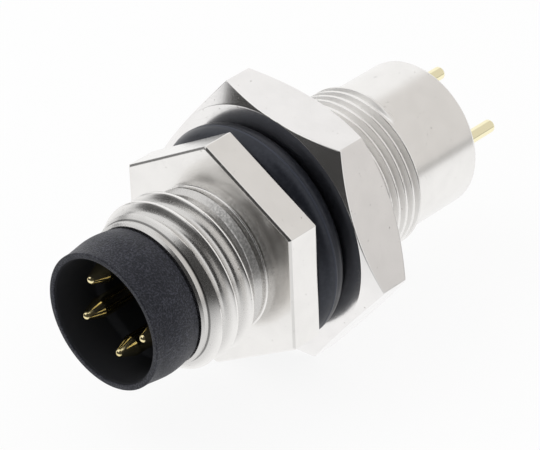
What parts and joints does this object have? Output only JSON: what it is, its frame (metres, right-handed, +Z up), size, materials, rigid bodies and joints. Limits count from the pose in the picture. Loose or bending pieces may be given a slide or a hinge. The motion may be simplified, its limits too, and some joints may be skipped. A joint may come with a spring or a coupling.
{
  "type": "circular sensor panel mount connector",
  "caption": "Round male sensor connector for a panel: threaded front with pins in a moulded cup, hex flange, rubber seal ring, screwed hex nut, plain rear barrel with solder tails.",
  "frame": {"origin": "on the connector's axis, in the rear face of the hex flange, where the seal ring and the panel bear", "axes": "+Y along the axis from the mating cup to the solder tails, +Z up through a corner of the flange, +X to the right as seen from the mating side"},
  "size_m": [0.0136, 0.0243, 0.013],
  "materials": {
    "nickel_housing": "satin nickel plating on turned brass",
    "nickel_nut": "satin nickel plating on turned brass",
    "carrier_plastic": "fine matt moulding",
    "contact_gold": "bright gold plating",
    "potting_resin": "poured resin",
    "seal_rubber": "satin moulded rubber"
  },
  "bodies": {
    "housing": {"housing": "nickel_housing", "contact_carrier": "carrier_plastic", "contact_pin_1": "contact_gold", "contact_pin_2": "contact_gold", "contact_pin_3": "contact_gold", "contact_pin_4": "contact_gold", "potting": "potting_resin"},
    "panel_seal": {"panel_seal": "seal_rubber"},
    "panel_nut": {"panel_nut": "nickel_nut"}
  },
  "joints": [
    {"name": "nut_turn", "type": "hinge", "parent": "housing", "child": "panel_seal", "pos_m": [0, 0, 0], "axis": [0, 1, 0], "range_deg": [0, 4510]},
    {"name": "nut_travel", "type": "slide", "parent": "panel_seal", "child": "panel_nut", "axis": [0, 1, 0], "range_m": [0, 0.00625]}
  ],
  "couplings": [
    {"joint": "nut_turn", "follows": "nut_travel", "rad_per_m": 12566}
  ]
}
